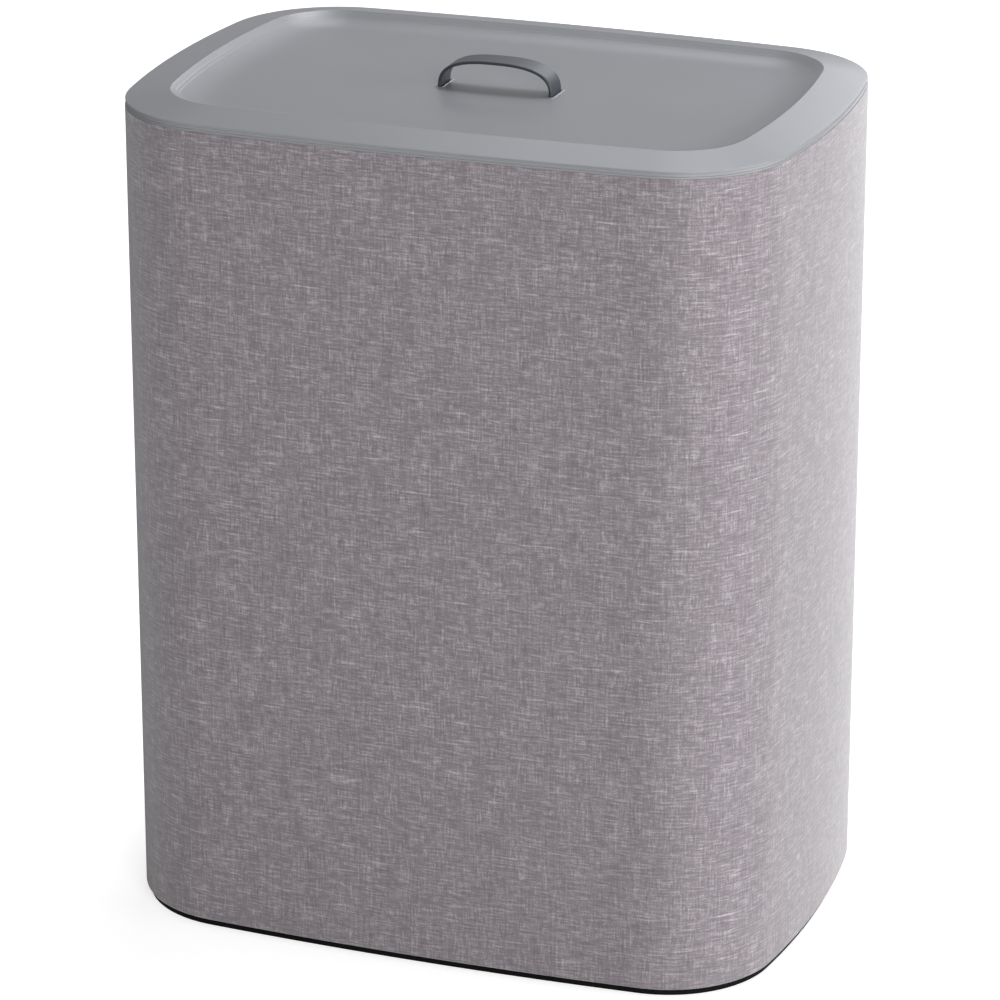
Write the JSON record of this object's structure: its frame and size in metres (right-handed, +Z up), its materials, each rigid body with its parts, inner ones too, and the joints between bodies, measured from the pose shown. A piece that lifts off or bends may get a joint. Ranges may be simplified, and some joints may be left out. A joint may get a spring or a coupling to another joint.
{
  "type": "laundry hamper with two bins",
  "caption": "Free-standing laundry hamper: a fabric-covered box with rounded corners, a lift-off lid with a strap handle, and lift-out bins with folding carrying handles inside.",
  "frame": {"origin": "on the floor, under the middle of the hamper", "axes": "+Z up, -Y towards the front long face, +X to the right along that face"},
  "size_m": [0.49, 0.344, 0.6176],
  "materials": {
    "cover_fabric": "heathered linen-look weave, mauve grey",
    "grey_plastic": "smooth, satin, cool grey",
    "strap_rubber": "smooth, satin, dark slate",
    "black_plastic": "matt black",
    "dark_plastic": "satin dark grey",
    "grip_rubber": "soft touch, dark slate",
    "foot_rubber": "matt black",
    "stiff_board": "plain fibre board",
    "lining_fabric": "plain non-woven lining",
    "sack_fabric": "plain woven polyester, light grey",
    "steel": "plain bright steel"
  },
  "bodies": {
    "shell": {"outer_cover": "cover_fabric", "front_board": "stiff_board", "back_board": "stiff_board", "left_board": "stiff_board", "right_board": "stiff_board", "wall_lining": "lining_fabric", "base_tray": "black_plastic", "foot_1": "foot_rubber", "foot_2": "foot_rubber", "foot_3": "foot_rubber", "foot_4": "foot_rubber", "rim_frame": "grey_plastic", "cross_bar": "grey_plastic", "cross_bar_screw_1": "steel", "cross_bar_screw_2": "steel", "cross_bar_screw_3": "steel", "cross_bar_screw_4": "steel"},
    "lid": {"lid_shell": "grey_plastic", "lid_handle": "strap_rubber", "handle_pin_left": "steel", "handle_pin_right": "steel"},
    "left_bin": {"left_bin_rim": "grey_plastic", "left_bin_sack": "sack_fabric", "left_bin_base_board": "stiff_board", "left_outer_pin_front": "steel", "left_outer_pin_back": "steel", "left_inner_pin_front": "steel", "left_inner_pin_back": "steel"},
    "right_bin": {"right_bin_rim": "grey_plastic", "right_bin_sack": "sack_fabric", "right_bin_base_board": "stiff_board", "right_outer_pin_front": "steel", "right_outer_pin_back": "steel", "right_inner_pin_front": "steel", "right_inner_pin_back": "steel"},
    "left_outer_handle": {"left_outer_bail": "dark_plastic", "left_outer_grip": "grip_rubber"},
    "left_inner_handle": {"left_inner_bail": "dark_plastic", "left_inner_grip": "grip_rubber"},
    "right_outer_handle": {"right_outer_bail": "dark_plastic", "right_outer_grip": "grip_rubber"},
    "right_inner_handle": {"right_inner_bail": "dark_plastic", "right_inner_grip": "grip_rubber"}
  },
  "joints": [
    {"name": "lid_lift", "type": "slide", "parent": "shell", "child": "lid", "axis": [0, 0, 1], "range_m": [0, 0.8]},
    {"name": "left_bin_lift", "type": "slide", "parent": "shell", "child": "left_bin", "axis": [0, 0, 1], "range_m": [0, 0.61]},
    {"name": "right_bin_lift", "type": "slide", "parent": "shell", "child": "right_bin", "axis": [0, 0, 1], "range_m": [0, 0.61]},
    {"name": "left_outer_handle_swing", "type": "hinge", "parent": "left_bin", "child": "left_outer_handle", "pos_m": [-0.1276, 0, 0.572], "axis": [0, 1, 0], "range_deg": [0, 88]},
    {"name": "left_inner_handle_swing", "type": "hinge", "parent": "left_bin", "child": "left_inner_handle", "pos_m": [-0.1096, 0, 0.572], "axis": [0, -1, 0], "range_deg": [0, 88]},
    {"name": "right_outer_handle_swing", "type": "hinge", "parent": "right_bin", "child": "right_outer_handle", "pos_m": [0.1276, 0, 0.572], "axis": [0, -1, 0], "range_deg": [0, 88]},
    {"name": "right_inner_handle_swing", "type": "hinge", "parent": "right_bin", "child": "right_inner_handle", "pos_m": [0.1096, 0, 0.572], "axis": [0, 1, 0], "range_deg": [0, 88]}
  ],
  "couplings": [
    {"joint": "left_bin_lift", "follows": "lid_lift", "ratio": 0.75},
    {"joint": "right_bin_lift", "follows": "lid_lift", "ratio": 0.75},
    {"joint": "left_outer_handle_swing", "follows": "lid_lift", "rad_per_m": 1.85},
    {"joint": "left_inner_handle_swing", "follows": "lid_lift", "rad_per_m": 1.85},
    {"joint": "right_outer_handle_swing", "follows": "lid_lift", "rad_per_m": 1.85},
    {"joint": "right_inner_handle_swing", "follows": "lid_lift", "rad_per_m": 1.85}
  ]
}
